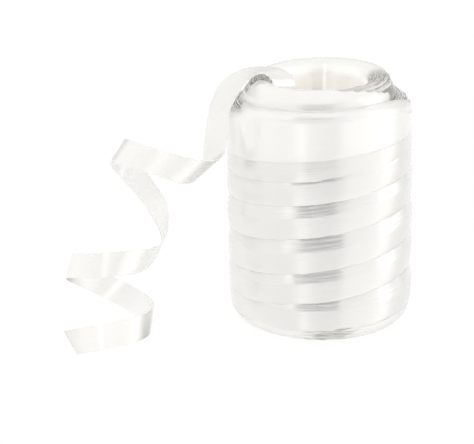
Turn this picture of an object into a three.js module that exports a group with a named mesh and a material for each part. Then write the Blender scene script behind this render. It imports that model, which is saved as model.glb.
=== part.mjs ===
// A roll of narrow curling ribbon, standing on its end, with one loose curled end.
// Millimetres, +Z up. The origin is the middle of the whole object's base, on the surface it stands on.
import * as THREE from 'three';

// The ribbon.
const RIBBON_THICK = 1; // as modelled; the real film is far thinner
const STEPS_PER_SECTION = 5; // steps of the loose end between two rows of its table

// The wound body, measured from the roll's own axis.
const ROLL_X = 27.4; // where the roll's axis stands
const ROLL_Y = 4.5;
const ROUND_STEPS = 72;
const BORE_R = 16;
const BORE_LIP = 1.5; // rounding of the bore's lower mouth
const WALL_R_LOW = 31.2;
const WALL_R_HIGH = 31.8;
const FOOT_ROUND = 7;
const WALL_TOP = 74; // where the outer shoulder starts
const SHOULDER_ROUND = 6;
const TUCK = 0.8; // how far a wrap is drawn in at its edges
const EDGE_RUN = 1.6; // height over which it is drawn in
const FOOT_DRIFT = 1; // the foot stands this far to +X of the mouth

// The inner ring, which stands above the outer wraps and leans up towards +X.
const RING_R = 25.3;
const RING_FOOT = 79;
const CREST_TOP = 87.2;
const CREST_ROUND_OUT = 4.3;
const CREST_ROUND_IN = 5;
const RING_LEAN = 0.038; // rise for each millimetre towards +X

// Edges between the outer wraps: height at the front, how much higher at +X, swell of the wrap above.
const WRAPS = [
  { edge: 16.0, rise: 5.0, swell: 0.2 },
  { edge: 27.0, rise: 5.5, swell: 0.5 },
  { edge: 39.5, rise: 5.0, swell: 0.3 },
  { edge: 50.0, rise: 4.5, swell: 0.1 },
  { edge: 60.0, rise: 3.0, swell: 0.0 },
  { edge: 69.5, rise: 1.5, swell: 0.0 },
];

// The loose end from inside the bore to its cut, measured from the roll's axis: its two edges,
// the near or upper one first. Front and back are the near and far sides of each curl.
const LOOSE_END = [
  { at: 'bore foot', upper: [-14.6, -4.75, 70], lower: [-7.4, 2.5, 70] },
  { at: 'bore', upper: [-14.6, -4.75, 77.5], lower: [-7.4, 2.5, 77.5] },
  { at: 'bore mouth', upper: [-14.6, -4.8, 82.6], lower: [-8, 2.8, 83] },
  { at: 'arch rising', upper: [-16.8, -5, 87.3], lower: [-11.2, 3.6, 87.3] },
  { at: 'arch', upper: [-19.8, -5, 89], lower: [-17.6, 4.6, 88.6] },
  { at: 'arch top', upper: [-23.6, -5.2, 89.3], lower: [-24, 4.6, 88.5] },
  { at: 'arch falling', upper: [-27.6, -6.4, 87.4], lower: [-29.2, 3, 87.2] },
  { at: 'over the wall', upper: [-30.2, -9, 83.4], lower: [-34, -0.5, 84] },
  { at: 'side', upper: [-31.2, -12, 78], lower: [-37, -4.5, 78.6] },
  { at: 'side low', upper: [-31.6, -15, 71.3], lower: [-38.8, -8.6, 70] },
  { at: 'turn 1', upper: [-32.8, -19, 64.2], lower: [-40.8, -13.5, 56.2] },
  { at: 'front 1 right', upper: [-39, -27, 64.8], lower: [-45.8, -22.5, 55.3] },
  { at: 'front 1', upper: [-49, -30, 68.3], lower: [-54, -27, 59.3] },
  { at: 'front 1 left', upper: [-59, -27, 70.5], lower: [-64, -25, 61.7] },
  { at: 'fold 1', upper: [-66.2, -17, 69.3], lower: [-71.2, -16, 61] },
  { at: 'back 1 left', upper: [-63, -8, 60.3], lower: [-69, -5.5, 53] },
  { at: 'back 1', upper: [-56.5, -6, 50], lower: [-64, -1, 45.5] },
  { at: 'back 1 right', upper: [-52, -9, 43], lower: [-58.5, -2, 38] },
  { at: 'turn 2', upper: [-52.4, -18, 35], lower: [-54.2, -9, 30.2] },
  { at: 'front 2 right', upper: [-57, -27, 34.2], lower: [-58.8, -22, 25] },
  { at: 'front 2', upper: [-64.5, -33, 35.3], lower: [-67.5, -31, 25.5] },
  { at: 'front 2 left', upper: [-75.5, -32, 34], lower: [-77.5, -30, 24.3] },
  { at: 'fold 2', upper: [-84.2, -22, 30], lower: [-86.8, -19.5, 20.3] },
  { at: 'back 2 left', upper: [-78, -11, 21], lower: [-82.5, -8, 13] },
  { at: 'back 2', upper: [-68, -7, 14.7], lower: [-74, -3, 6.5] },
  { at: 'back 2 right', upper: [-59.8, -11, 11.2], lower: [-64.5, -6, 2] },
  { at: 'turn 3', upper: [-56.7, -19, 10], lower: [-58.2, -18, -0.1] },
  { at: 'front 3 right', upper: [-62, -28.5, 10], lower: [-62.3, -27.5, -0.1] },
  { at: 'front 3', upper: [-70.5, -34, 9.9], lower: [-70.5, -33, -0.1] },
  { at: 'front 3 left', upper: [-78.5, -38, 9.8], lower: [-77.5, -36.8, -0.1] },
  { at: 'cut', upper: [-86.3, -40.5, 9.4], lower: [-82, -39.2, -0.1] },
];

const ribbonWhite = { color: 0xf2f1ec, roughness: 0.3, metalness: 0 };

function mix(a, b, share) {
  return a + (b - a) * share;
}

// Points of a quarter round in a radial section, from one angle to the other, in degrees.
function quarterRound(centreR, centreZ, round, from, to, steps) {
  const points = [];
  for (let i = 0; i <= steps; i++) {
    const angle = THREE.MathUtils.degToRad(mix(from, to, i / steps));
    points.push({ r: centreR + round * Math.cos(angle), z: centreZ + round * Math.sin(angle) });
  }
  return points;
}

function footRows() {
  const lip = quarterRound(BORE_R + BORE_LIP, BORE_LIP, BORE_LIP, 180, 270, 2);
  return [...lip, ...quarterRound(WALL_R_LOW - FOOT_ROUND, FOOT_ROUND, FOOT_ROUND, -90, 0, 6)];
}

// Rows of one wrap, from the crease at its lower edge to just under the next crease.
function wrapRows(wrap, next) {
  const wallR = mix(WALL_R_LOW, WALL_R_HIGH, wrap.edge / WALL_TOP);
  const middle = { edge: (wrap.edge + next.edge) / 2, rise: (wrap.rise + next.rise) / 2 };
  return [
    { r: wallR - TUCK, z: wrap.edge, rise: wrap.rise },
    { r: wallR, z: wrap.edge + EDGE_RUN, rise: wrap.rise },
    { r: wallR + wrap.swell, z: middle.edge, rise: middle.rise },
    { r: wallR, z: next.edge - EDGE_RUN, rise: next.rise },
  ];
}

function wallRows() {
  const rows = [{ r: WALL_R_LOW, z: WRAPS[0].edge - EDGE_RUN, rise: WRAPS[0].rise }];
  for (let i = 0; i + 1 < WRAPS.length; i++) {
    rows.push(...wrapRows(WRAPS[i], WRAPS[i + 1]));
  }
  const last = WRAPS[WRAPS.length - 1];
  rows.push({ r: WALL_R_HIGH - TUCK / 2, z: last.edge, rise: last.rise });
  return rows;
}

function ringRows() {
  const outer = quarterRound(RING_R - CREST_ROUND_OUT, CREST_TOP - CREST_ROUND_OUT, CREST_ROUND_OUT, 0, 90, 4);
  const inner = quarterRound(BORE_R + CREST_ROUND_IN, CREST_TOP - CREST_ROUND_IN, CREST_ROUND_IN, 90, 180, 4);
  const ring = [{ r: RING_R, z: RING_FOOT }, ...outer, ...inner.slice(1)];
  return ring.map(({ r, z }) => ({ r, z, rise: RING_LEAN * r }));
}

// The closed section of the roll, from the bore's lower mouth out, up the wall and back down the bore.
function rollRows() {
  const shoulder = quarterRound(WALL_R_HIGH - SHOULDER_ROUND, WALL_TOP, SHOULDER_ROUND, 0, 75, 4);
  return [...footRows(), ...wallRows(), ...shoulder, ...ringRows(), { r: BORE_R, z: CREST_TOP / 2 }];
}

// A closed body whose rows run round the roll's axis, each higher at +X by its own rise.
function roundBody(rows, steps) {
  const positions = [];
  const indices = [];
  for (const { r, z, rise = 0 } of rows) {
    const drift = FOOT_DRIFT * (1 - THREE.MathUtils.smoothstep(z, 0, WALL_TOP));
    const rowDrift = r > BORE_R + BORE_LIP ? drift : 0;
    for (let i = 0; i < steps; i++) {
      const angle = (2 * Math.PI * i) / steps;
      positions.push(rowDrift + r * Math.cos(angle), r * Math.sin(angle), z + rise * Math.cos(angle));
    }
  }
  for (let row = 0; row < rows.length; row++) {
    const below = row * steps;
    const above = ((row + 1) % rows.length) * steps;
    for (let i = 0; i < steps; i++) {
      const j = (i + 1) % steps;
      indices.push(below + i, below + j, above + j, below + i, above + j, above + i);
    }
  }
  return indexedGeometry(positions, indices);
}

function indexedGeometry(positions, indices) {
  const geometry = new THREE.BufferGeometry();
  geometry.setAttribute('position', new THREE.Float32BufferAttribute(positions, 3));
  geometry.setIndex(indices);
  geometry.computeVertexNormals();
  return geometry;
}

function edgeCurve(edge) {
  const points = LOOSE_END.map((section) => new THREE.Vector3(...section[edge]));
  return new THREE.CatmullRomCurve3(points, false, 'catmullrom', 0.5);
}

// A band between two edge curves, with flat ends. Nothing of it goes below the surface.
function bandBetween(upperEdge, lowerEdge, thick, steps) {
  const positions = [];
  const indices = [];
  for (let i = 0; i <= steps; i++) {
    const upper = upperEdge.getPoint(i / steps);
    const lower = lowerEdge.getPoint(i / steps);
    const along = upperEdge.getTangent(i / steps).add(lowerEdge.getTangent(i / steps));
    const across = new THREE.Vector3().subVectors(upper, lower);
    const half = along.cross(across).setLength(thick / 2);
    for (const corner of [upper.clone().add(half), upper.clone().sub(half),
      lower.clone().sub(half), lower.clone().add(half)]) {
      positions.push(corner.x, corner.y, Math.max(corner.z, 0));
    }
  }
  for (let i = 0; i < steps; i++) {
    for (let k = 0; k < 4; k++) {
      const a = 4 * i + k;
      const b = 4 * i + ((k + 1) % 4);
      indices.push(a, b + 4, b, a, a + 4, b + 4);
    }
  }
  const end = 4 * steps;
  indices.push(0, 1, 2, 0, 2, 3, end, end + 2, end + 1, end, end + 3, end + 2);
  return indexedGeometry(positions, indices);
}

function roll() {
  const mesh = new THREE.Mesh(roundBody(rollRows(), ROUND_STEPS), new THREE.MeshStandardMaterial(ribbonWhite));
  mesh.name = 'roll';
  return mesh;
}

function looseEnd() {
  const steps = (LOOSE_END.length - 1) * STEPS_PER_SECTION;
  const geometry = bandBetween(edgeCurve('upper'), edgeCurve('lower'), RIBBON_THICK, steps);
  const mesh = new THREE.Mesh(geometry, new THREE.MeshStandardMaterial(ribbonWhite));
  mesh.name = 'loose_end';
  return mesh;
}

const ribbonRoll = new THREE.Group();
ribbonRoll.position.set(ROLL_X, ROLL_Y, 0);
ribbonRoll.add(roll(), looseEnd());

export default ribbonRoll;
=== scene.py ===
# A roll of narrow glossy white curling ribbon, standing on its end on a white table, with its
# loose end drawn out of the middle and falling beside it in three curls. Metres, +Z up, in the
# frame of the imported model. The roll's own axis stands to the right of the frame's origin.
import math

import bpy
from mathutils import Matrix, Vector, noise


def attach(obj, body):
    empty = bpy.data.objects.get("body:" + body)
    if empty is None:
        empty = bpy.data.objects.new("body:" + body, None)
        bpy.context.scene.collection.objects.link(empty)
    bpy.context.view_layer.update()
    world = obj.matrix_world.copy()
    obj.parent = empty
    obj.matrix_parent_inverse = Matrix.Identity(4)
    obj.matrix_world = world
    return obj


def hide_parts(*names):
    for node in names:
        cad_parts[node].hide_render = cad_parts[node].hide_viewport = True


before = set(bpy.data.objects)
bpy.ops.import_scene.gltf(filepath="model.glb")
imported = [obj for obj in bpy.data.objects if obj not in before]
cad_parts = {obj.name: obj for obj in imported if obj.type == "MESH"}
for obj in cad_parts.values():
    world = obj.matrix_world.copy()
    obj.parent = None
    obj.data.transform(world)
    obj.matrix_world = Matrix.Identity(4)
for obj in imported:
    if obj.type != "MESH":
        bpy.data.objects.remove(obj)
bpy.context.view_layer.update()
scene = bpy.context.scene

# The camera: a long lens three quarters of a metre away across the table, which looks down on the
# roll at nineteen degrees.
LOOKS_DOWN = 19
camera_data = bpy.data.cameras.new("camera")
camera_data.sensor_width = 36.0
camera_data.lens = 174.4
camera_data.clip_start = 0.05
camera_data.clip_end = 20.0
camera = bpy.data.objects.new("camera", camera_data)
camera.location = (-0.0008, -0.7519, 0.2945)
camera.rotation_euler = (math.radians(90 - LOOKS_DOWN), 0.0, 0.0)
scene.collection.objects.link(camera)
scene.camera = camera
scene.view_settings.view_transform = "Standard"
scene.view_settings.look = "None"


# The table and the light: a wide white table, lit mostly by its own glow and unseen by the gloss,
# under a ring of soft white panels. One dark gap between them, on the side the roll is looked at
# from, draws the dark bars on the gloss. The camera sees plain white behind it all.
def new_material(name):
    material = bpy.data.materials.new(name)
    material.use_nodes = True
    material.node_tree.nodes.clear()
    return material, material.node_tree


def add_node(tree, kind, **settings):
    node = tree.nodes.new(kind)
    for key, value in settings.items():
        setattr(node, key, value)
    return node


def mesh_object(name, vertices, faces):
    mesh = bpy.data.meshes.new(name)
    mesh.from_pydata([Vector(v) for v in vertices], [], faces)
    mesh.validate()
    piece = bpy.data.objects.new(name, mesh)
    scene.collection.objects.link(piece)
    return piece


TABLE_TOP = -0.0001
TABLE_HALF = 4
# How much of the table's surface is glow, for the light that it throws and for the camera.
GLOW_THROWN = 0.7
GLOW_SEEN = 0.86
table_top = mesh_object(
    "table_top",
    [(x * TABLE_HALF, y * TABLE_HALF, TABLE_TOP) for x, y in ((-1, -1), (1, -1), (1, 1), (-1, 1))],
    [(0, 1, 2, 3)],
)
table_white, tree = new_material("table_white")
seen = add_node(tree, "ShaderNodeLightPath")
glow = add_node(tree, "ShaderNodeEmission")
glow.inputs["Color"].default_value = (1.0, 1.0, 1.0, 1.0)
glow.inputs["Strength"].default_value = 1.04
paper = add_node(tree, "ShaderNodeBsdfDiffuse")
paper.inputs["Color"].default_value = (0.9, 0.9, 0.89, 1.0)
glow_share = add_node(tree, "ShaderNodeMapRange")
glow_share.inputs["To Min"].default_value = GLOW_THROWN
glow_share.inputs["To Max"].default_value = GLOW_SEEN
mixed = add_node(tree, "ShaderNodeMixShader")
out = add_node(tree, "ShaderNodeOutputMaterial")
tree.links.new(seen.outputs["Is Camera Ray"], glow_share.inputs["Value"])
tree.links.new(glow_share.outputs["Result"], mixed.inputs[0])
tree.links.new(paper.outputs[0], mixed.inputs[1])
tree.links.new(glow.outputs[0], mixed.inputs[2])
tree.links.new(mixed.outputs[0], out.inputs[0])
table_top.data.materials.append(table_white)
table_top.visible_glossy = False

# How bright the panels are round the horizon, as (degrees from straight in front, brightness):
# from the roll's back by its left to its front, and on by its right to its back.
PANELS = [
    (-180, 0.8),
    (-150, 0.6),
    (-122, 0.65),
    (-112, 1.05),
    (-50, 1.05),
    (-44, 1.6),
    (-36, 1.6),
    (-32, 0.02),
    (17, 0.02),
    (22, 1.0),
    (68, 1.1),
    (84, 2.4),
    (98, 2.4),
    (108, 0.8),
    (150, 0.6),
    (180, 0.8),
]
# The same for what the gloss sees below the horizon in place of the table: its pools of light,
# with a narrow bright one to the left of the front and a broad one to the right.
POOLS = [
    (-180, 0.95),
    (-130, 1.0),
    (-105, 1.08),
    (-50, 0.98),
    (-33, 0.98),
    (-28, 1.26),
    (-20, 1.24),
    (-15, 1.02),
    (0, 0.96),
    (22, 0.9),
    (32, 1.1),
    (60, 1.12),
    (78, 1.2),
    (84, 1.34),
    (96, 1.3),
    (106, 0.95),
    (125, 0.86),
    (150, 0.96),
    (180, 0.95),
]


BRIGHTEST = 4.0
OVERHEAD = 0.25


def by_azimuth(tree, azimuth, stops):
    """A ramp of brightness by the azimuth, as a share of the brightest light."""
    bands = add_node(tree, "ShaderNodeValToRGB")
    for i, (degrees, bright) in enumerate(stops):
        position = (degrees + 180) / 360
        stop = bands.color_ramp.elements[i] if i < 2 else bands.color_ramp.elements.new(position)
        stop.position = position
        stop.color = (*[bright / BRIGHTEST] * 3, 1.0)
    tree.links.new(azimuth, bands.inputs["Fac"])
    return bands.outputs["Color"]


world = bpy.data.worlds.new("studio")
world.use_nodes = True
tree = world.node_tree
tree.nodes.clear()
direction = add_node(tree, "ShaderNodeTexCoord")
apart = add_node(tree, "ShaderNodeSeparateXYZ")
to_front = add_node(tree, "ShaderNodeMath", operation="MULTIPLY")
to_front.inputs[1].default_value = -1.0
azimuth = add_node(tree, "ShaderNodeMath", operation="ARCTAN2")
share = add_node(tree, "ShaderNodeMapRange")
share.inputs["From Min"].default_value = -math.pi
share.inputs["From Max"].default_value = math.pi
panels = by_azimuth(tree, share.outputs["Result"], PANELS)
pools = by_azimuth(tree, share.outputs["Result"], POOLS)
horizon = add_node(tree, "ShaderNodeMapRange")
horizon.inputs["From Min"].default_value = -0.02
horizon.inputs["From Max"].default_value = 0.02
sides = add_node(tree, "ShaderNodeMix", data_type="RGBA")
overhead = add_node(tree, "ShaderNodeMapRange", interpolation_type="SMOOTHSTEP")
overhead.inputs["From Min"].default_value = 0.30
overhead.inputs["From Max"].default_value = 0.42
top_mix = add_node(tree, "ShaderNodeMix", data_type="RGBA")
top_mix.inputs["B"].default_value = (OVERHEAD, OVERHEAD, OVERHEAD, 1.0)
sky = add_node(tree, "ShaderNodeBackground")
sky.inputs["Strength"].default_value = BRIGHTEST
white = add_node(tree, "ShaderNodeBackground")
white.inputs["Color"].default_value = (1.0, 1.0, 1.0, 1.0)
seen = add_node(tree, "ShaderNodeLightPath")
mixed = add_node(tree, "ShaderNodeMixShader")
out = add_node(tree, "ShaderNodeOutputWorld")
tree.links.new(direction.outputs["Generated"], apart.inputs[0])
tree.links.new(apart.outputs["X"], azimuth.inputs[0])
tree.links.new(apart.outputs["Y"], to_front.inputs[0])
tree.links.new(to_front.outputs[0], azimuth.inputs[1])
tree.links.new(azimuth.outputs[0], share.inputs["Value"])
tree.links.new(apart.outputs["Z"], horizon.inputs["Value"])
tree.links.new(horizon.outputs["Result"], sides.inputs["Factor"])
tree.links.new(pools, sides.inputs["A"])
tree.links.new(panels, sides.inputs["B"])
tree.links.new(apart.outputs["Z"], overhead.inputs["Value"])
tree.links.new(overhead.outputs["Result"], top_mix.inputs["Factor"])
tree.links.new(sides.outputs["Result"], top_mix.inputs["A"])
tree.links.new(top_mix.outputs["Result"], sky.inputs["Color"])
tree.links.new(seen.outputs["Is Camera Ray"], mixed.inputs[0])
tree.links.new(sky.outputs[0], mixed.inputs[1])
tree.links.new(white.outputs[0], mixed.inputs[2])
tree.links.new(mixed.outputs[0], out.inputs[0])
scene.world = world

# The ribbon's film: thin glossy white plastic with faint ribs along its length, so its gloss is
# drawn out across its width. Its colour is darkened by painted shade where the turns stand open, in
# streaks at the foot, on a strip in the bore and in the loose end's folds, and a faint glow is
# painted on it where light comes through.
ribbon_film, tree = new_material("ribbon_film")
film = add_node(tree, "ShaderNodeBsdfPrincipled")
film.inputs["Metallic"].default_value = 0.5
film.inputs["IOR"].default_value = 1.5
film.inputs["Anisotropic"].default_value = 0.6
film.inputs["Anisotropic Rotation"].default_value = 0.25
film.inputs["Coat Weight"].default_value = 0.25
film.inputs["Coat Roughness"].default_value = 0.06
film.inputs["Subsurface Weight"].default_value = 0.3
film.inputs["Subsurface Radius"].default_value = (1.0, 0.97, 0.9)
film.inputs["Subsurface Scale"].default_value = 0.006
uv = add_node(tree, "ShaderNodeUVMap", uv_map="ribbon_uv")
along = add_node(tree, "ShaderNodeTangent", direction_type="UV_MAP", uv_map="ribbon_uv")
ribs = add_node(tree, "ShaderNodeTexNoise", noise_dimensions="2D")
ribs.inputs["Scale"].default_value = 1.0
ribs.inputs["Detail"].default_value = 3.0
stretch = add_node(tree, "ShaderNodeMapping")
stretch.inputs["Scale"].default_value = (90.0, 1500.0, 1.0)
bump = add_node(tree, "ShaderNodeBump")
bump.inputs["Strength"].default_value = 0.5
bump.inputs["Distance"].default_value = 0.00015
rough = add_node(tree, "ShaderNodeMapRange")
rough.inputs["To Min"].default_value = 0.24
rough.inputs["To Max"].default_value = 0.28
# Painted shade: an attribute mixes the film's own colour towards the dark brown-grey below.
painted_shade = add_node(tree, "ShaderNodeAttribute", attribute_name="painted_shade")
tint = add_node(tree, "ShaderNodeMix", data_type="RGBA")
tint.inputs["A"].default_value = (0.975, 0.963, 0.935, 1.0)
tint.inputs["B"].default_value = (0.3, 0.28, 0.23, 1.0)
# A painted glow: its strength is read from an attribute on the surface, and its colour is set below.
painted_glow = add_node(tree, "ShaderNodeAttribute", attribute_name="painted_glow")
film.inputs["Emission Color"].default_value = (1.0, 0.97, 0.92, 1.0)
out = add_node(tree, "ShaderNodeOutputMaterial")
tree.links.new(painted_glow.outputs["Fac"], film.inputs["Emission Strength"])
tree.links.new(uv.outputs[0], stretch.inputs["Vector"])
tree.links.new(stretch.outputs[0], ribs.inputs["Vector"])
tree.links.new(ribs.outputs["Fac"], bump.inputs["Height"])
tree.links.new(ribs.outputs["Fac"], rough.inputs["Value"])
tree.links.new(rough.outputs["Result"], film.inputs["Roughness"])
tree.links.new(bump.outputs[0], film.inputs["Normal"])
tree.links.new(along.outputs[0], film.inputs["Tangent"])
tree.links.new(painted_shade.outputs["Fac"], tint.inputs["Factor"])
tree.links.new(tint.outputs["Result"], film.inputs["Base Color"])
tree.links.new(film.outputs[0], out.inputs[0])

# The wound body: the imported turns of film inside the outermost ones, which hold each other by their
# winding alone. It is one closed form from the bore's foot out, up the wall, over the low outer
# tier and the ring, and down the bore.
AXIS = Vector((0.0274, 0.0045, 0.0))
BORE_R = 0.016
WALL_R = 0.0298
FOOT_ROUND = 0.007
FOOT_DRIFT = 0.001
PAINTED_FOOT_SHADE_TOP = 0.0065
RING_R = 0.0254
LEAN = 0.038
COVER_RISE = 0.0052
ROUND_STEPS = 240
# How dark the painted shade on the strip at the bore's back is, and how strong the painted glow is,
# standing in for light through the bore's wall, through the open turns and along the one bright line
# in the bore.
STRIP_SHADE = 0.3
BORE_LIGHT = 0.145
OPEN_LIGHT = 0.1
LINE_LIGHT = 0.1


def arc(centre_r, centre_z, round_r, first, last, steps):
    angles = [math.radians(first + (last - first) * i / steps) for i in range(steps + 1)]
    return [(centre_r + round_r * math.cos(a), centre_z + round_r * math.sin(a)) for a in angles]


def ease(value, low, high):
    t = min(max((value - low) / (high - low), 0.0), 1.0)
    return t * t * (3 - 2 * t)


# The section's points, as (radius, height): the bore's lip and the rounded foot, the wall, the
# smooth top of the wall with the tier, the ring's outer side and crest, and the bore.
body_rows = arc(BORE_R + 0.0015, 0.0015, 0.0015, 180, 270, 3)
body_rows += arc(0.0242, FOOT_ROUND, FOOT_ROUND, -90, 0, 30)
body_rows += [(0.0311, 0.010), (0.0308, 0.0125), (WALL_R, 0.015)]
body_rows += [(WALL_R, z) for z in (0.025, 0.035, 0.045, 0.055, 0.0665)]
body_rows += [(0.0314, 0.0690), (0.0317, 0.0692), (0.0318, 0.0697), (0.0318, 0.0715)]
body_rows += arc(0.0300, 0.0746, 0.0018, 0, 24, 4)
body_rows += arc(0.0256, 0.0735, 0.0064, 26, 80, 12)
body_rows += [(0.0262, 0.0798), (0.0261, 0.0804), (0.02603, 0.0818), (0.02597, 0.0823)]
body_rows += [(0.0257, 0.0828), (0.0252, 0.0838), (0.0246, 0.0849), (0.0237, 0.0860)]
body_rows += [(0.0227, 0.0868), (0.0216, 0.0872)]
body_rows += arc(0.021, 0.0822, 0.005, 96, 180, 12)
body_rows += [(BORE_R, z) for z in (0.075, 0.06, 0.045, 0.03, 0.015)]


def drift(z):
    """How far the roll stands over to +X at this height: its foot is a little off its mouth."""
    return FOOT_DRIFT * (1 - ease(z, 0.0, 0.074))


def from_front(degrees):
    """An angle round the axis as degrees from straight in front, with the right side above 0."""
    return (degrees + 270) % 360 - 180


def layer_opening_and_shade(degrees, r, z):
    """How much shade is painted at this place: streaks at the foot, and on the ring and on the tier
    the places where the turns stand open.
    """
    turned = from_front(degrees)
    if z < PAINTED_FOOT_SHADE_TOP:
        # At the foot the shade is painted in noisy streaks, only round the front, strongest just in
        # front and next to the table.
        streak = ease(noise.noise(Vector((0.11 * degrees, 2300 * z, 5.0))), -0.25, 0.45)
        streak += 0.45 * ease(turned, -2, 6) * (1 - ease(turned, 10, 17)) * ease(z, 0.0005, 0.002)
        streak += 0.9 * ease(turned, -12, 0) * (1 - ease(turned, 4, 14)) * (1 - ease(z, 0.0, 0.0008))
        return 0.85 * min(streak, 1.0) * ease(turned, -16, -8) * (1 - ease(turned, 17, 26))
    if r < RING_R:
        slant = 45 * min(max((r - 0.0212) / 0.0042, 0.0), 1.0)
        left = ease(-turned, 74, 82) * (1 - ease(-turned, 118, 130))
        return left + ease(turned, 10 + slant, 16 + slant) * (1 - ease(turned, 92, 112))
    far = min(max((r - 0.027) / 0.004, 0.0), 1.0)
    left = ease(-turned, 74 - 18 * far, 80 - 18 * far) * ease(r, 0.0268, 0.0274)
    left *= 1 - 0.6 * ease(r, 0.0292, 0.0304)
    return left + ease(turned, 60 + 22 * far, 66 + 22 * far)


def cover_edge(angle):
    """How far over or under 69 mm the smooth top of the wall begins, right round the roll."""
    climbed = (angle / (2 * math.pi) + 0.25) % 1
    climbed -= ease(climbed, 0.53, 0.66)
    lean = 0.0021 - 0.0015 * climbed
    return 0.0098 * climbed - 0.0030 - 0.0025 * ease(climbed, 0.0, 0.4) + lean * math.cos(angle)


def cover_rise(degrees, r, z):
    """How much higher the smooth top of the wall stands in front than it does behind."""
    brim = 0.3 + 0.7 * min(max((r - 0.0258) / 0.006, 0.0), 1.0) ** 1.5
    brim *= ease(z, 0.0715, 0.074) * (1 - ease(z, 0.0815, 0.0870))
    return COVER_RISE * brim * (1 - ease(abs(from_front(degrees)), 25, 100))


def in_bore(degrees, r, z):
    """How far inside the bore a place is, and how far on its painted bright line and on the strip of
    painted dark reflection at its back.
    """
    inside = ease(z, 0.03, 0.07) * (1 - ease(r, 0.0163, 0.0185))
    from_back = degrees - 90
    line = inside * (1 - ease(abs(from_back + 8), 1.0, 2.5))
    strip = inside * ease(from_back, -6.0, -4.0) * (1 - ease(from_back, 6.0, 9.0))
    return inside, line, strip * (1 - 0.8 * ease(z, 0.077, 0.083))


def keep_on_points(piece, name, values):
    attribute = piece.data.attributes.new(name, "FLOAT", "POINT")
    attribute.data.foreach_set("value", values)


vertices, faces, painted_shade_values, painted_glow_values = [], [], [], []
for r, z in body_rows:
    for i in range(ROUND_STEPS):
        degrees = 360 * i / ROUND_STEPS
        angle = math.radians(degrees)
        on_top = ease(z, 0.0758, 0.0768) * ease(r, BORE_R, 0.0170)
        on_foot = ease(r, 0.0250, 0.0275)
        # How much shade is painted here; on top, the body also sinks where the turns stand open.
        opening_and_shade = layer_opening_and_shade(degrees, r, z) * (on_top if z > PAINTED_FOOT_SHADE_TOP else on_foot)
        lean = LEAN * r * ease(z, 0.073, 0.081)
        height = z + lean * math.cos(angle) + (0.0003 - 0.0014 * opening_and_shade) * on_top
        height += cover_edge(angle) * ease(z, 0.060, 0.0665) * (1 - ease(z, 0.0715, 0.076))
        height += cover_rise(degrees, r, z)
        x = r * math.cos(angle) + (drift(z) if r > 0.018 else 0.0)
        vertices.append(AXIS + Vector((x, r * math.sin(angle), height)))
        # Painted shade on the open turns, the foot's streaks and the strip at the bore's back, and a
        # painted glow in the bore, on the open turns and along the bore's bright line.
        inside, line, strip = in_bore(degrees, r, z)
        painted_shade_values.append(max(opening_and_shade, STRIP_SHADE * strip))
        painted_glow_values.append(max(BORE_LIGHT * inside, OPEN_LIGHT * opening_and_shade) + LINE_LIGHT * line)
rows = len(body_rows)
for row in range(rows):
    below, above = row * ROUND_STEPS, (row + 1) % rows * ROUND_STEPS
    for i in range(ROUND_STEPS):
        j = (i + 1) % ROUND_STEPS
        faces.append((below + i, below + j, above + j, above + i))
wound_body = mesh_object("wound_body", vertices, faces)
keep_on_points(wound_body, "painted_shade", painted_shade_values)
keep_on_points(wound_body, "painted_glow", painted_glow_values)
layer = wound_body.data.uv_layers.new(name="ribbon_uv")
for polygon in wound_body.data.polygons:
    polygon.use_smooth = True
    row, i = divmod(polygon.index, ROUND_STEPS)
    corners = ((i, row), (i + 1, row), (i + 1, row + 1), (i, row + 1))
    for loop, (across, up) in zip(polygon.loop_indices, corners):
        layer.data[loop].uv = (0.2 * across / ROUND_STEPS, 0.003 * up)
wound_body.data.materials.append(ribbon_film)
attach(wound_body, "root")
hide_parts("roll")

# The outermost turns: one ribbon of film, wound tight up the wall from the foot to its smooth top.
# Each turn hangs a little over the one below it, with a fine rolled lip along its lower edge, and
# nothing fixes it but its own grip.
FIRST_TURN = -0.35
LAST_TURN = 5.6
STEPS_PER_TURN = 120
# The height of that lip straight in front, in millimetres, and how far it flares out, in degrees,
# turn by turn. The ribbon ends before the last two, which only give its curve a direction.
EDGES = [
    (5.5, 1.5),
    (16.0, 1.8),
    (27.0, 2.4),
    (39.5, 1.8),
    (51.2, -1.5),
    (59.2, -4.0),
    (69.5, -4.0),
    (79.0, -2.0),
]
# The section of one turn, in millimetres out of the wall and up from the lip: up its outer side to
# where it laps under the turn above, and back down its inner side.
LIP_SECTION = [
    (-0.30, 0.08), (-0.24, 0.0), (-0.16, 0.04), (-0.06, 0.5), (0.06, 1.1), (0.17, 2.0), (0.25, 3.2),
    (0.27, 4.6), (0.26, 6.2), (0.25, 7.2), (0.21, 7.6), (0.10, 8.0), (0.06, 8.3), (-0.06, 8.7),
    (-0.19, 9.2), (-0.22, 9.5), (-0.38, 10.0), (-0.55, 10.5), (-0.60, 10.9), (-0.78, 11.5),
    (-1.02, 12.5), (-1.24, 13.4), (-1.50, 13.4), (-1.27, 12.5), (-0.98, 11.2), (-0.64, 9.9),
    (-0.38, 8.9), (-0.19, 8.2), (-0.06, 7.6), (-0.02, 7.1), (-0.02, 6.2), (-0.02, 4.6),
    (-0.04, 3.2), (-0.12, 2.0), (-0.22, 1.1), (-0.31, 0.5),
]


def along_turns(turn, column):
    """A value of EDGES at a place along the winding, by a smooth curve through the turns."""
    k = min(max(int(turn), 0), len(EDGES) - 2)
    t = turn - k
    p = [EDGES[min(max(k + n, 0), len(EDGES) - 1)][column] for n in (-1, 0, 1, 2)]
    bend = (p[0] - 2.5 * p[1] + 2 * p[2] - 0.5 * p[3], 1.5 * (p[1] - p[2]) + 0.5 * (p[3] - p[0]))
    return p[1] + t * (0.5 * (p[2] - p[0]) + t * (bend[0] + t * bend[1]))


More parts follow.
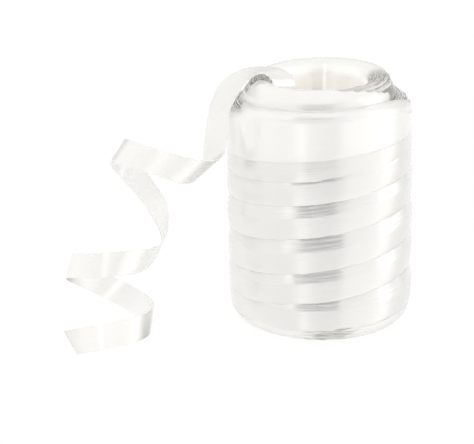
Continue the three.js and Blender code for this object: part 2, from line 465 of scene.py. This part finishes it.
path_data = bpy.data.curves.new("winding_path", "CURVE")
path_data.dimensions = "3D"
path_data.twist_mode = "Z_UP"
spline = path_data.splines.new("POLY")
winding_steps = round((LAST_TURN - FIRST_TURN) * STEPS_PER_TURN)
turn_places = [FIRST_TURN + i / STEPS_PER_TURN for i in range(winding_steps + 1)]
spline.points.add(len(turn_places) - 1)
for point, turn in zip(spline.points, turn_places):
    angle = 2 * math.pi * turn - math.pi / 2
    lean = 0.0028 * ease(turn, 0.2, 1.0) * (1 - 0.6 * ease(turn, 4.2, 6.0))
    height = along_turns(turn, 0) / 1000 + lean * math.cos(angle)
    under_round = FOOT_ROUND - min(height, FOOT_ROUND)
    r = 0.0314 + 0.0004 * height / 0.074
    r -= FOOT_ROUND - math.sqrt(FOOT_ROUND ** 2 - under_round ** 2)
    wave = noise.noise(Vector((2.2 * math.cos(angle), 2.2 * math.sin(angle), 1.7 * turn)))
    quiver = noise.noise(Vector((6 * math.cos(angle), 6 * math.sin(angle), 2.3 * turn + 9)))
    r += 0.0002 * wave - 0.0012 * ease(turn, 5.45, LAST_TURN)
    height += 0.0002 * quiver
    x = r * math.cos(angle) + drift(height)
    point.co = (*(AXIS + Vector((x, r * math.sin(angle), height))), 1.0)
    point.tilt = math.radians(along_turns(turn, 1) + 1.2 * wave + 1.2 * quiver)
    point.radius = 1 - 0.35 * ease(turn, 5.0, 5.4)
    point.radius += 0.2 * ease(turn, 2.6, 2.9) * (1 - ease(turn, 3.2, 3.6))
winding_path = bpy.data.objects.new("winding_path", path_data)
scene.collection.objects.link(winding_path)

section_data = bpy.data.curves.new("ribbon_section", "CURVE")
section_data.dimensions = "3D"
spline = section_data.splines.new("POLY")
spline.points.add(len(LIP_SECTION) - 1)
for point, (out_mm, up_mm) in zip(spline.points, LIP_SECTION):
    point.co = (out_mm / 1000, -up_mm / 1000, 0.0, 1.0)
spline.use_cyclic_u = True
ribbon_section = bpy.data.objects.new("ribbon_section", section_data)
scene.collection.objects.link(ribbon_section)


def new_geometry_tree(name, sockets):
    tree = bpy.data.node_groups.new(name, "GeometryNodeTree")
    tree.interface.new_socket("Geometry", in_out="INPUT", socket_type="NodeSocketGeometry")
    for label, kind in sockets:
        tree.interface.new_socket(label, in_out="INPUT", socket_type=kind)
    tree.interface.new_socket("Geometry", in_out="OUTPUT", socket_type="NodeSocketGeometry")
    return tree, add_node(tree, "NodeGroupInput"), add_node(tree, "NodeGroupOutput")


def keep_lengths(tree):
    """Nodes that keep how far along the ribbon and how far across it each point is, as its UV map."""
    kept = []
    for _ in range(2):
        far = add_node(tree, "GeometryNodeSplineParameter")
        keep = add_node(tree, "GeometryNodeCaptureAttribute")
        keep.capture_items.new("FLOAT", "Length")
        tree.links.new(far.outputs["Length"], keep.inputs[1])
        kept.append(keep)
    pair = add_node(tree, "ShaderNodeCombineXYZ")
    store = add_node(tree, "GeometryNodeStoreNamedAttribute", data_type="FLOAT2", domain="CORNER")
    store.inputs["Name"].default_value = "ribbon_uv"
    tree.links.new(kept[0].outputs[1], pair.inputs[0])
    tree.links.new(kept[1].outputs[1], pair.inputs[1])
    tree.links.new(pair.outputs[0], store.inputs["Value"])
    return kept[0], kept[1], store


tree, given, result = new_geometry_tree(
    "wind_ribbon_along_path",
    [("Section", "NodeSocketObject"), ("Material", "NodeSocketMaterial")],
)
upright = add_node(tree, "GeometryNodeSetCurveNormal", mode="Z_UP")
section = add_node(tree, "GeometryNodeObjectInfo", transform_space="ORIGINAL")
keep_far, keep_wide, store = keep_lengths(tree)
sweep = add_node(tree, "GeometryNodeCurveToMesh")
sweep.inputs["Fill Caps"].default_value = True
outward = add_node(tree, "GeometryNodeFlipFaces")
smooth = add_node(tree, "GeometryNodeSetShadeSmooth")
plain = add_node(tree, "GeometryNodeRealizeInstances")
dress = add_node(tree, "GeometryNodeSetMaterial")
link = tree.links.new
link(given.outputs["Geometry"], upright.inputs[0])
link(upright.outputs[0], keep_far.inputs[0])
link(given.outputs["Section"], section.inputs["Object"])
link(section.outputs["Geometry"], keep_wide.inputs[0])
link(keep_far.outputs[0], sweep.inputs["Curve"])
link(keep_wide.outputs[0], sweep.inputs["Profile Curve"])
link(sweep.outputs[0], store.inputs["Geometry"])
link(store.outputs[0], outward.inputs[0])
link(outward.outputs[0], smooth.inputs[0])
link(smooth.outputs[0], plain.inputs[0])
link(plain.outputs[0], dress.inputs[0])
link(given.outputs["Material"], dress.inputs["Material"])
link(dress.outputs[0], result.inputs[0])
wind_tree = tree


def socket_of(tree, label):
    """The identifier of the tree's input of this name."""
    inputs = [item for item in tree.interface.items_tree if item.in_out == "INPUT"]
    return next(item.identifier for item in inputs if item.name == label)


def grown(name, carrier, tree, values):
    """The tree's result on the carrier as a plain mesh object of its own; the carrier is removed."""
    modifier = carrier.modifiers.new("grow", "NODES")
    modifier.node_group = tree
    for label, value in values.items():
        modifier[socket_of(tree, label)] = value
    carrier.update_tag()
    view_layer = bpy.context.view_layer
    view_layer.update()
    graph = bpy.context.evaluated_depsgraph_get()
    mesh = bpy.data.meshes.new_from_object(carrier.evaluated_get(graph), depsgraph=graph)
    bpy.data.objects.remove(carrier)
    mesh.name = name
    piece = bpy.data.objects.new(name, mesh)
    scene.collection.objects.link(piece)
    return piece


outer_turns = grown(
    "outer_turns", winding_path, wind_tree, {"Section": ribbon_section, "Material": ribbon_film}
)
bpy.data.objects.remove(ribbon_section)
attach(outer_turns, "root")

# The edges of the turns inside: on top of the ring and of the outer tier the winding is seen edge
# on, as one thin turn of film inside another, no two quite level. Each turn is a narrow ring that
# stands up out of the wound body, at a random place in its share of the radius.
TURN_UNIT = 0.02
TURN_TALL = 0.004
TURN_TILT = 0.008
tree, given, result = new_geometry_tree(
    "nest_turns",
    [
        ("Count", "NodeSocketInt"),
        ("Inner radius", "NodeSocketFloat"),
        ("Outer radius", "NodeSocketFloat"),
        ("Crest radius", "NodeSocketFloat"),
        ("Crest height", "NodeSocketFloat"),
        ("Round inside", "NodeSocketFloat"),
        ("Round outside", "NodeSocketFloat"),
        ("Film", "NodeSocketFloat"),
        ("Unevenness", "NodeSocketFloat"),
        ("Lean", "NodeSocketFloat"),
        ("Axis", "NodeSocketVector"),
        ("Seed", "NodeSocketInt"),
        ("Material", "NodeSocketMaterial"),
    ],
)
link = tree.links.new


def maths(operation, *values):
    """A Math node of this tree, with numbers or other nodes' outputs as its values."""
    node = add_node(tree, "ShaderNodeMath", operation=operation)
    for i, value in enumerate(values):
        if isinstance(value, (int, float)):
            node.inputs[i].default_value = value
        else:
            link(value, node.inputs[i])
    return node.outputs[0]


def scatter(low, high, offset):
    """A random number for each turn, from low to high, out of the tree's seed."""
    node = add_node(tree, "FunctionNodeRandomValue", data_type="FLOAT")
    for socket, value in ((node.inputs[2], low), (node.inputs[3], high)):
        if isinstance(value, (int, float)):
            socket.default_value = value
        else:
            link(value, socket)
    link(maths("ADD", given.outputs["Seed"], offset), node.inputs["Seed"])
    return node.outputs[1]


number = add_node(tree, "GeometryNodeInputIndex")
line = add_node(tree, "GeometryNodePoints")
link(given.outputs["Count"], line.inputs["Count"])
spread = maths("SUBTRACT", given.outputs["Outer radius"], given.outputs["Inner radius"])
pitch = maths("DIVIDE", spread, given.outputs["Count"])
radius = maths("ADD", number.outputs[0], scatter(0.1, 0.9, 1))
radius = maths("ADD", maths("MULTIPLY", radius, pitch), given.outputs["Inner radius"])
kept = add_node(tree, "GeometryNodeCaptureAttribute")
kept.capture_items.new("FLOAT", "Radius")
link(line.outputs[0], kept.inputs[0])
link(radius, kept.inputs[1])
radius = kept.outputs[1]
beyond = maths("SUBTRACT", radius, given.outputs["Crest radius"])
outside = maths("GREATER_THAN", beyond, 0.0)
round_r = add_node(tree, "ShaderNodeMix", data_type="FLOAT")
link(outside, round_r.inputs["Factor"])
link(given.outputs["Round inside"], round_r.inputs["A"])
link(given.outputs["Round outside"], round_r.inputs["B"])
round_r = round_r.outputs["Result"]
drop = maths("SUBTRACT", maths("MULTIPLY", round_r, round_r), maths("MULTIPLY", beyond, beyond))
drop = maths("SUBTRACT", round_r, maths("SQRT", maths("MAXIMUM", drop, 0.0)))
level = maths("SUBTRACT", given.outputs["Crest height"], drop)
deepest = maths("MULTIPLY", given.outputs["Unevenness"], -1.3)
level = maths("ADD", level, scatter(deepest, 0.0001, 2))
height = add_node(tree, "ShaderNodeCombineXYZ")
link(level, height.inputs["Z"])
stand = add_node(tree, "ShaderNodeVectorMath", operation="ADD")
link(height.outputs[0], stand.inputs[0])
link(given.outputs["Axis"], stand.inputs[1])
put = add_node(tree, "GeometryNodeSetPosition")
link(kept.outputs[0], put.inputs[0])
link(stand.outputs[0], put.inputs["Position"])
circle = add_node(tree, "GeometryNodeCurvePrimitiveCircle", mode="RADIUS")
circle.inputs["Resolution"].default_value = 120
circle.inputs["Radius"].default_value = TURN_UNIT
strip = add_node(tree, "GeometryNodeCurvePrimitiveQuadrilateral")
link(given.outputs["Film"], strip.inputs["Width"])
strip.inputs["Height"].default_value = TURN_TALL
keep_far, keep_wide, store = keep_lengths(tree)
band = add_node(tree, "GeometryNodeCurveToMesh")
link(circle.outputs[0], keep_far.inputs[0])
link(strip.outputs[0], keep_wide.inputs[0])
link(keep_far.outputs[0], band.inputs["Curve"])
link(keep_wide.outputs[0], band.inputs["Profile Curve"])
link(band.outputs[0], store.inputs["Geometry"])
lower = add_node(tree, "GeometryNodeTransform")
lower.inputs["Translation"].default_value = (0.0, 0.0, -TURN_TALL / 2)
link(store.outputs[0], lower.inputs[0])
wide = maths("DIVIDE", radius, TURN_UNIT)
size = add_node(tree, "ShaderNodeCombineXYZ")
link(wide, size.inputs["X"])
link(wide, size.inputs["Y"])
size.inputs["Z"].default_value = 1.0
lean = add_node(tree, "ShaderNodeCombineXYZ")
link(scatter(-TURN_TILT, TURN_TILT, 3), lean.inputs["X"])
link(maths("SUBTRACT", scatter(-TURN_TILT, TURN_TILT, 4), given.outputs["Lean"]), lean.inputs["Y"])
each = add_node(tree, "GeometryNodeInstanceOnPoints")
link(put.outputs[0], each.inputs["Points"])
link(lower.outputs[0], each.inputs["Instance"])
link(lean.outputs[0], each.inputs["Rotation"])
link(size.outputs[0], each.inputs["Scale"])
real = add_node(tree, "GeometryNodeRealizeInstances")
link(each.outputs[0], real.inputs[0])
place = add_node(tree, "GeometryNodeInputPosition")
ripple = add_node(tree, "ShaderNodeTexNoise", noise_dimensions="3D")
ripple.inputs["Scale"].default_value = 330.0
ripple.inputs["Detail"].default_value = 1.0
link(place.outputs[0], ripple.inputs["Vector"])
middle = add_node(tree, "ShaderNodeVectorMath", operation="SUBTRACT")
middle.inputs[1].default_value = (0.5, 0.5, 0.5)
link(ripple.outputs["Color"], middle.inputs[0])
amount = add_node(tree, "ShaderNodeVectorMath", operation="SCALE")
link(middle.outputs[0], amount.inputs[0])
link(maths("MULTIPLY", given.outputs["Unevenness"], 1.6), amount.inputs["Scale"])
rippled = add_node(tree, "GeometryNodeSetPosition")
link(real.outputs[0], rippled.inputs[0])
link(amount.outputs[0], rippled.inputs["Offset"])
flat = add_node(tree, "GeometryNodeSetShadeSmooth")
flat.inputs["Shade Smooth"].default_value = False
dress = add_node(tree, "GeometryNodeSetMaterial")
link(rippled.outputs[0], flat.inputs[0])
link(flat.outputs[0], dress.inputs[0])
link(given.outputs["Material"], dress.inputs["Material"])
link(dress.outputs[0], result.inputs[0])
nest_tree = tree

TURN_FILM = 0.00015
UNEVEN = 0.0005
carrier = mesh_object("carrier", [(0, 0, 0)], [])
ring_turns = grown(
    "ring_turns",
    carrier,
    nest_tree,
    {
        "Count": 24,
        "Inner radius": 0.0163,
        "Outer radius": 0.0253,
        "Crest radius": 0.0210,
        "Crest height": 0.0870,
        "Round inside": 0.0050,
        "Round outside": 0.0038,
        "Film": TURN_FILM,
        "Unevenness": UNEVEN,
        "Lean": LEAN,
        "Axis": AXIS,
        "Seed": 7,
        "Material": ribbon_film,
    },
)
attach(ring_turns, "root")

carrier = mesh_object("carrier", [(0, 0, 0)], [])
tier_turns = grown(
    "tier_turns",
    carrier,
    nest_tree,
    {
        "Count": 15,
        "Inner radius": 0.0260,
        "Outer radius": 0.0314,
        "Crest radius": 0.0258,
        "Crest height": 0.0800,
        "Round inside": 0.0060,
        "Round outside": 0.0060,
        "Film": TURN_FILM,
        "Unevenness": UNEVEN,
        "Lean": 0.030,
        "Axis": AXIS,
        "Seed": 23,
        "Material": ribbon_film,
    },
)
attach(tier_turns, "root")

# The loose end: the same ribbon, drawn up out of the bore and over the ring, then falling in
# curls that the film keeps by itself, and resting on the table by its last one.
STEPS_PER_ROW = 12
ACROSS = 6
FILM_THICK = 0.0002
FLAT_WIDE = 0.010
FLAT_LONG = 0.290
# How dark the shade painted on the film's folds is.
FOLD_SHADE = 0.6
# Where a painted glint, a narrow line of glow, crosses the film, in rows of LOOSE_END, how strong it
# is, and how many rows it fades over.
GLINTS = (23.95, 28.47)
GLINT_LIGHT = 0.1
GLINT_FADE = 0.17
# Its two edges from the bore to the cut, in millimetres from the roll's axis. They are the packed
# model's, apart from the near edge of the arch, which hugs the tier up to 3 mm closer.
LOOSE_END = [
    ((-14.6, -4.75, 70), (-7.4, 2.5, 70)),
    ((-14.6, -4.75, 77.5), (-7.4, 2.5, 77.5)),
    ((-14.6, -4.8, 82.6), (-8, 2.8, 83)),
    ((-16.8, -5, 87.3), (-11.2, 3.6, 87.3)),
    ((-19.8, -5, 89), (-17.6, 4.6, 88.6)),
    ((-23.2, -5.8, 87.8), (-24, 4.2, 88.5)),
    ((-26.5, -7.2, 84.7), (-29.2, 2.4, 87.2)),
    ((-29.0, -9.8, 81.0), (-34, -0.8, 84)),
    ((-30.9, -12.4, 77), (-37, -4.5, 78.6)),
    ((-31.6, -15, 71.3), (-38.8, -8.6, 70)),
    ((-32.8, -19, 64.2), (-40.8, -13.5, 56.2)),
    ((-39, -27, 64.8), (-45.8, -22.5, 55.3)),
    ((-49, -30, 68.3), (-54, -27, 59.3)),
    ((-59, -27, 70.5), (-64, -25, 61.7)),
    ((-66.2, -17, 69.3), (-71.2, -16, 61)),
    ((-63, -8, 60.3), (-69, -5.5, 53)),
    ((-56.5, -6, 50), (-64, -1, 45.5)),
    ((-52, -9, 43), (-58.5, -2, 38)),
    ((-52.4, -18, 35), (-54.2, -9, 30.2)),
    ((-57, -27, 34.2), (-58.8, -22, 25)),
    ((-64.5, -33, 35.3), (-67.5, -31, 25.5)),
    ((-75.5, -32, 34), (-77.5, -30, 24.3)),
    ((-84.2, -22, 30), (-86.8, -19.5, 20.3)),
    ((-78, -11, 21), (-82.5, -8, 13)),
    ((-68, -7, 14.7), (-74, -3, 6.5)),
    ((-59.8, -11, 11.2), (-64.5, -6, 2)),
    ((-56.7, -19, 10), (-58.2, -18, -0.1)),
    ((-62, -28.5, 10), (-62.3, -27.5, -0.1)),
    ((-70.5, -34, 9.9), (-70.5, -33, -0.1)),
    ((-78.5, -38, 9.8), (-77.5, -36.8, -0.1)),
    ((-86.3, -40.5, 9.4), (-82, -39.2, -0.1)),
]


def edge_point(side, place):
    """A point of one edge, on the smooth curve through its rows, in metres."""
    k = min(int(place), len(LOOSE_END) - 2)
    t = place - k
    inner = [Vector(LOOSE_END[min(max(k + n, 0), len(LOOSE_END) - 1)][side]) for n in (-1, 0, 1, 2)]
    if k == 0:
        inner[0] = 2 * inner[1] - inner[2]
    if k == len(LOOSE_END) - 2:
        inner[3] = 2 * inner[2] - inner[1]
    a, b, c, d = inner
    curve = 2 * b + t * (c - a) + t * t * (2 * a - 5 * b + 4 * c - d)
    curve += t * t * t * (3 * b - a - 3 * c + d)
    return AXIS + curve / 2000


def fold_shade(place, across):
    """How much shade is painted on the film, in its folds and more lightly along its last curl and
    towards its cut end, at a place along it and a share of the way across it.
    """
    shade = ease(place, 22.0, 22.15) * (1 - ease(place, 22.3, 22.8))
    shade += ease(place, 26.05, 26.4) * (1 - ease(place, 26.6, 27.0)) * (0.4 + 0.6 * across)
    shade += 0.5 * ease(place, 9.9, 10.3) * (1 - ease(place, 10.6, 11.2))
    shade += 0.08 * ease(place, 26.9, 27.4) + 0.2 * ease(place, 29.2, 30.0)
    return FOLD_SHADE * shade


vertices, faces, painted_fold_shade_values, painted_glint_values = [], [], [], []
steps = (len(LOOSE_END) - 1) * STEPS_PER_ROW
for i in range(steps + 1):
    place = i / STEPS_PER_ROW
    upper, lower = edge_point(0, place), edge_point(1, place)
    glint = max(1 - ease(abs(place - middle), 0.0, GLINT_FADE) for middle in GLINTS)
    for n in range(ACROSS + 1):
        point = upper.lerp(lower, n / ACROSS)
        point.z = max(point.z, 0.0002)
        vertices.append(point)
        painted_fold_shade_values.append(fold_shade(place, n / ACROSS))
        painted_glint_values.append(GLINT_LIGHT * glint)
for i in range(steps):
    for n in range(ACROSS):
        a = i * (ACROSS + 1) + n
        faces.append((a, a + 1, a + ACROSS + 2, a + ACROSS + 1))
loose_end = mesh_object("loose_ribbon", vertices, faces)
keep_on_points(loose_end, "painted_shade", painted_fold_shade_values)
keep_on_points(loose_end, "painted_glow", painted_glint_values)
layer = loose_end.data.uv_layers.new(name="ribbon_uv")
for polygon in loose_end.data.polygons:
    polygon.use_smooth = True
    i, n = divmod(polygon.index, ACROSS)
    corners = ((i, n), (i, n + 1), (i + 1, n + 1), (i + 1, n))
    for loop, (far, wide) in zip(polygon.loop_indices, corners):
        layer.data[loop].uv = (FLAT_LONG * far / steps, FLAT_WIDE * wide / ACROSS)
loose_end.data.materials.append(ribbon_film)
# The film's thin cut edges: a plain white, with a painted glow on them.
cut_edge, tree = new_material("cut_edge")
film = add_node(tree, "ShaderNodeBsdfPrincipled")
film.inputs["Base Color"].default_value = (0.95, 0.94, 0.92, 1.0)
film.inputs["Roughness"].default_value = 0.6
film.inputs["Emission Color"].default_value = (1.0, 0.99, 0.96, 1.0)
film.inputs["Emission Strength"].default_value = 0.4
out = add_node(tree, "ShaderNodeOutputMaterial")
tree.links.new(film.outputs[0], out.inputs[0])
loose_end.data.materials.append(cut_edge)
thick = loose_end.modifiers.new("film_thickness", "SOLIDIFY")
thick.thickness = FILM_THICK
thick.offset = 0.0
thick.material_offset_rim = 1
even = loose_end.modifiers.new("even_normals", "WEIGHTED_NORMAL")
even.mode = "FACE_AREA"
even.weight = 100
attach(loose_end, "root")
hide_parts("loose_end")
